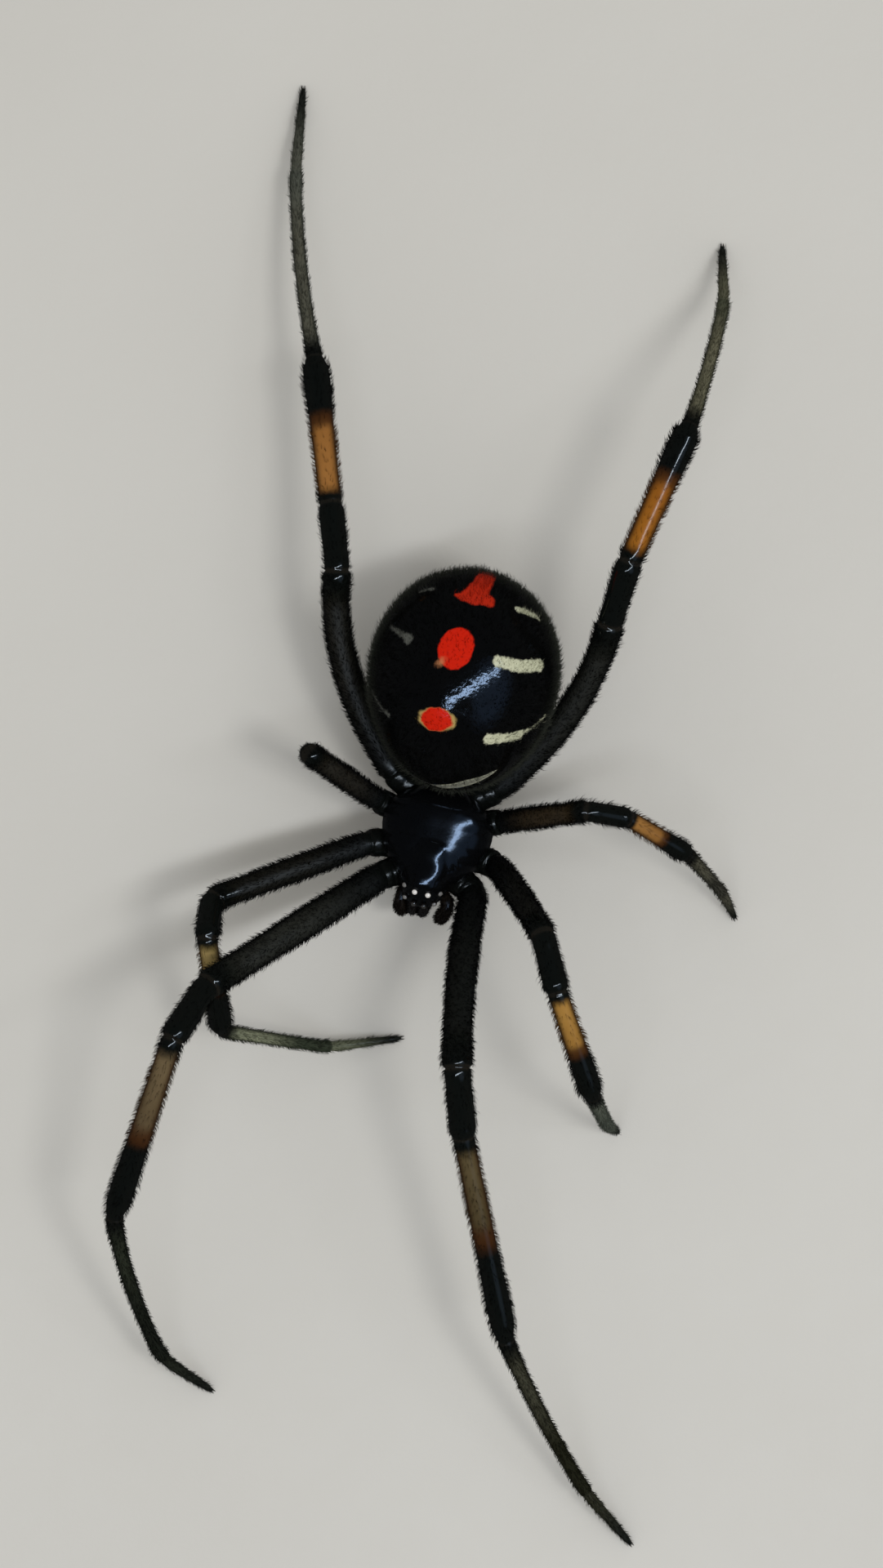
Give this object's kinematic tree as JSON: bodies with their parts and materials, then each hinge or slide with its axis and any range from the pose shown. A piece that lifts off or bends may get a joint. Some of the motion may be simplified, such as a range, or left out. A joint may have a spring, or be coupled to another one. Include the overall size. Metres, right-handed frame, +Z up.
{
  "type": "black widow spider",
  "caption": "Still life-size model of a young female black widow spider standing with its banded legs spread wide and its round glossy abdomen held clear of the floor.",
  "frame": {"origin": "centre of the whole spider's box, on the floor that its feet stand on", "axes": "+Z up off the floor; -Y the way the head faces, +Y towards the rear of the abdomen; +X the spider's left side"},
  "size_m": [0.0155, 0.0366, 0.0072],
  "materials": {
    "body_cuticle": "glossy blue-black cuticle with short dark hairs; the abdomen carries red midline spots and cream side bars",
    "leg_black": "satin black to dark brown cuticle with short dark hairs",
    "leg_amber": "amber band on a dark, lightly translucent tibia",
    "leg_grey": "grey-brown, darker towards the tip, with fine dark hairs"
  },
  "bodies": {
    "root": {"carapace": "body_cuticle", "sternum": "body_cuticle", "pedicel": "body_cuticle", "abdomen": "body_cuticle", "spinnerets": "body_cuticle", "chelicera_left": "body_cuticle", "chelicera_right": "body_cuticle", "palp_left": "body_cuticle", "palp_right": "body_cuticle", "leg_left_1_coxa": "leg_black", "leg_left_1_femur": "leg_black", "leg_left_1_patella": "leg_black", "leg_left_1_tibia": "leg_amber", "leg_left_1_metatarsus": "leg_grey", "leg_left_1_tarsus": "leg_grey", "leg_left_2_coxa": "leg_black", "leg_left_2_femur": "leg_black", "leg_left_2_patella": "leg_black", "leg_left_2_tibia": "leg_amber", "leg_left_2_metatarsus": "leg_grey", "leg_left_2_tarsus": "leg_grey", "leg_left_3_coxa": "leg_black", "leg_left_3_femur": "leg_black", "leg_left_3_patella": "leg_black", "leg_left_3_tibia": "leg_amber", "leg_left_3_metatarsus": "leg_grey", "leg_left_3_tarsus": "leg_grey", "leg_left_4_coxa": "leg_black", "leg_left_4_femur": "leg_black", "leg_left_4_patella": "leg_black", "leg_left_4_tibia": "leg_amber", "leg_left_4_metatarsus": "leg_grey", "leg_left_4_tarsus": "leg_grey", "leg_right_1_coxa": "leg_black", "leg_right_1_femur": "leg_black", "leg_right_1_patella": "leg_black", "leg_right_1_tibia": "leg_amber", "leg_right_1_metatarsus": "leg_grey", "leg_right_1_tarsus": "leg_grey", "leg_right_2_coxa": "leg_black", "leg_right_2_femur": "leg_black", "leg_right_2_patella": "leg_black", "leg_right_2_tibia": "leg_amber", "leg_right_2_metatarsus": "leg_grey", "leg_right_2_tarsus": "leg_grey", "leg_right_3_coxa": "leg_black", "leg_right_3_femur": "leg_black", "leg_right_3_patella": "leg_black", "leg_right_3_tibia": "leg_amber", "leg_right_3_metatarsus": "leg_grey", "leg_right_3_tarsus": "leg_grey", "leg_right_4_coxa": "leg_black", "leg_right_4_femur": "leg_black", "leg_right_4_patella": "leg_black", "leg_right_4_tibia": "leg_amber", "leg_right_4_metatarsus": "leg_grey", "leg_right_4_tarsus": "leg_grey"}
  },
  "joints": []
}
